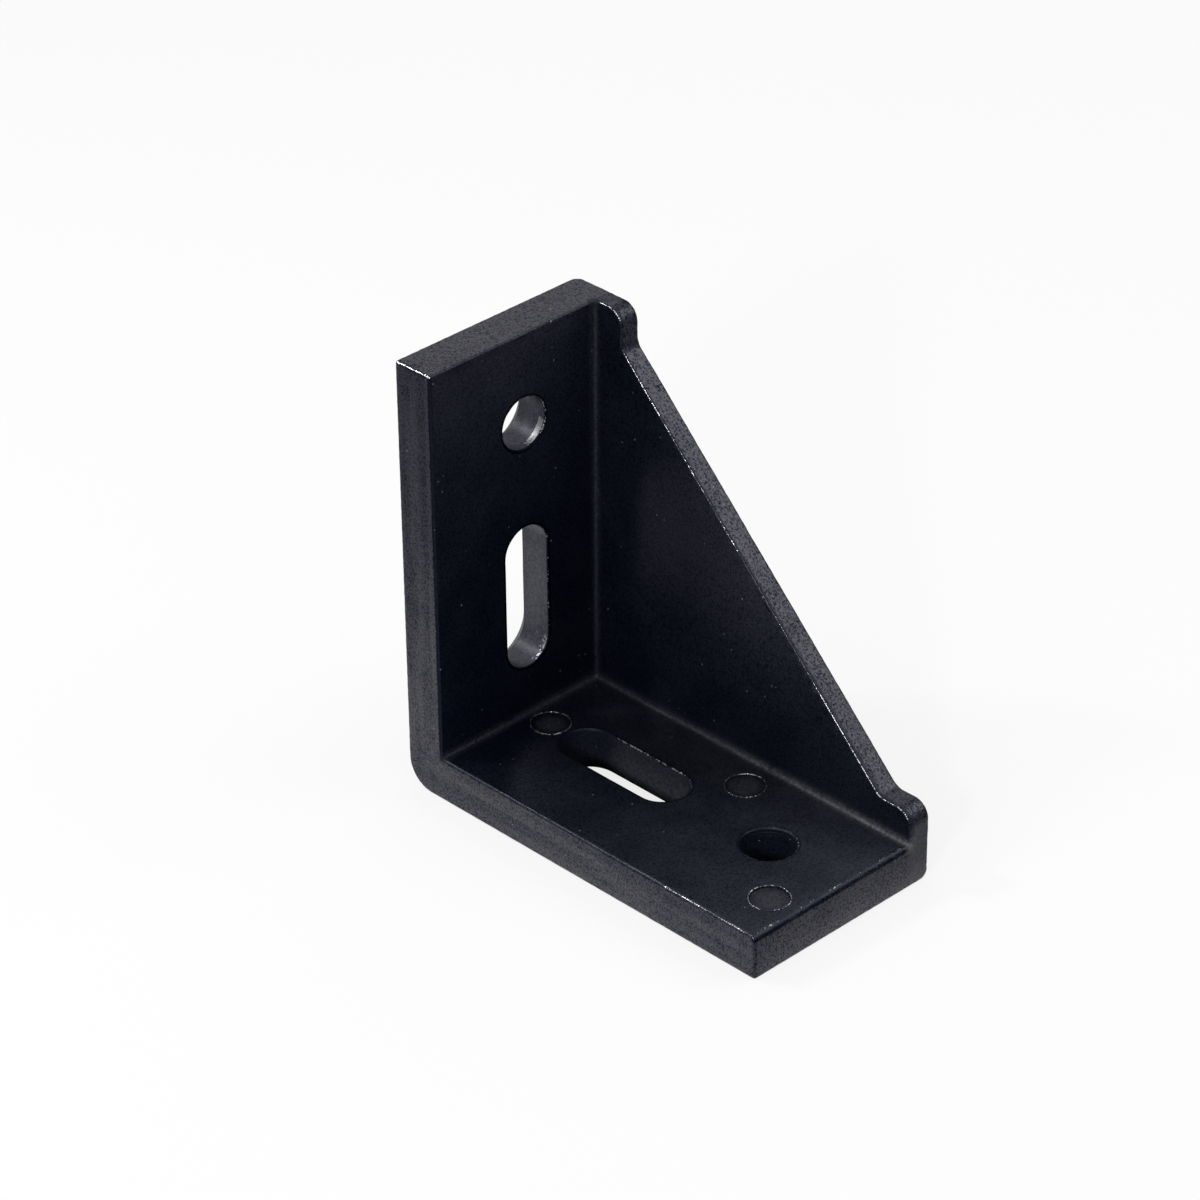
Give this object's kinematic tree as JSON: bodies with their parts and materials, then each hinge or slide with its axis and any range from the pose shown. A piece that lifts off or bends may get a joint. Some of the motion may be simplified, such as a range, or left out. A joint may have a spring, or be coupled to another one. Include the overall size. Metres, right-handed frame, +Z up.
{
  "type": "slotted profile corner bracket",
  "caption": "Cast right-angle bracket with two equal legs, a side brace, and a round hole and a long hole in each leg.",
  "frame": {"origin": "middle of the base leg's mating face, which is also the middle of the bracket's footprint", "axes": "+X along the base leg away from the standing leg, +Y across the width towards the brace, +Z up the standing leg"},
  "size_m": [0.0584, 0.0296, 0.0585],
  "materials": {
    "black_coat": "semi-gloss black coat on cast aluminium"
  },
  "bodies": {
    "root": {"corner_bracket": "black_coat"}
  },
  "joints": []
}
